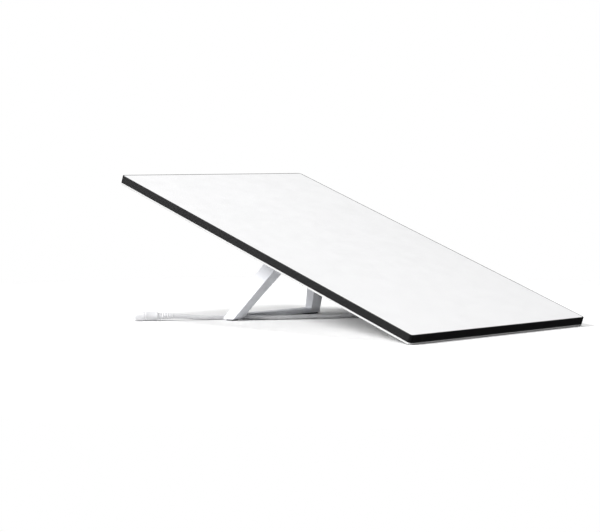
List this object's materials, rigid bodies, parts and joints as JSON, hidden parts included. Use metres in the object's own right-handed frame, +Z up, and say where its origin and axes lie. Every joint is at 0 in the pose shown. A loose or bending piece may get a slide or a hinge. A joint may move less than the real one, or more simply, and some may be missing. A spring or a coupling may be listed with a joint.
{
  "type": "flat panel satellite antenna",
  "caption": "Flat white satellite antenna panel with a dark edge, leaning on a stand folded out of its back, with a white cable.",
  "frame": {"origin": "on the floor, in the middle of the antenna's box without its cable", "axes": "+Z up from the floor, +Y from the panel's low edge towards its raised end, X across the panel"},
  "size_m": [0.562, 0.5631, 0.214],
  "materials": {
    "cover_white": "satin white weatherproof radome sheet",
    "frame_black": "fine-textured charcoal coating",
    "rubber_black": "matt",
    "housing_white": "fine-textured white moulding",
    "foam": "matt foam",
    "copper": "bare copper",
    "board_green": "solder mask",
    "chip_black": "moulded",
    "pad_grey": "soft",
    "aluminium": "milled",
    "screw_steel": "plated",
    "can_steel": "tin-plated",
    "ceramic": "fired ceramic",
    "vent_grey": "satin",
    "stand_white": "satin white powder coat",
    "bush_grey": "acetal",
    "button_grey": "satin",
    "cable_white": "satin flexible jacket",
    "plug_white": "satin",
    "tie_black": "hook-and-loop webbing"
  },
  "bodies": {
    "antenna": {"front_cover": "cover_white", "edge_frame": "frame_black", "perimeter_seal": "rubber_black", "rear_housing": "housing_white", "foam_core": "foam", "patch_elements": "copper", "antenna_board": "board_green", "beamformer_chips": "chip_black", "thermal_pads": "pad_grey", "heat_spreader": "aluminium", "spreader_screws": "screw_steel", "modem_board": "board_green", "shield_cans": "can_steel", "navigation_antenna": "ceramic", "board_link": "chip_black", "modem_screws": "screw_steel", "cable_socket": "chip_black", "socket_seal": "rubber_black", "breather_vent": "vent_grey", "hinge_block": "aluminium", "button_cover": "stand_white", "hinge_bracket_left": "aluminium", "hinge_bracket_right": "aluminium", "hinge_screws": "screw_steel", "hinge_pin_left": "screw_steel", "hinge_pin_right": "screw_steel", "button_spring_left": "screw_steel", "button_spring_right": "screw_steel", "antenna_plug": "plug_white", "antenna_boot": "cable_white", "cable_lead": "cable_white", "cable_coil": "cable_white", "coil_ties": "tie_black", "cable_run": "cable_white", "far_boot": "cable_white", "far_plug": "plug_white"},
    "kickstand": {"kickstand_frame": "stand_white", "hinge_bush_left": "bush_grey", "hinge_bush_right": "bush_grey", "foot_pad_left": "rubber_black", "foot_pad_right": "rubber_black", "foot_strip": "rubber_black"},
    "button_left": {"release_button_left": "button_grey"},
    "button_right": {"release_button_right": "button_grey"}
  },
  "joints": [
    {"name": "kickstand_fold", "type": "hinge", "parent": "antenna", "child": "kickstand", "pos_m": [0, 0.08069, 0.11351], "axis": [-1, 0, 0], "range_deg": [0, 100], "deforming": ["cable_run"]},
    {"name": "release_left", "type": "slide", "parent": "antenna", "child": "button_left", "axis": [1, 0, 0], "range_m": [0, 0.003], "stiffness_N_per_m": 400, "springref_m": -0.003, "deforming": ["button_spring_left"]},
    {"name": "release_right", "type": "slide", "parent": "antenna", "child": "button_right", "axis": [-1, 0, 0], "range_m": [0, 0.003], "stiffness_N_per_m": 400, "springref_m": -0.003, "deforming": ["button_spring_right"]}
  ]
}
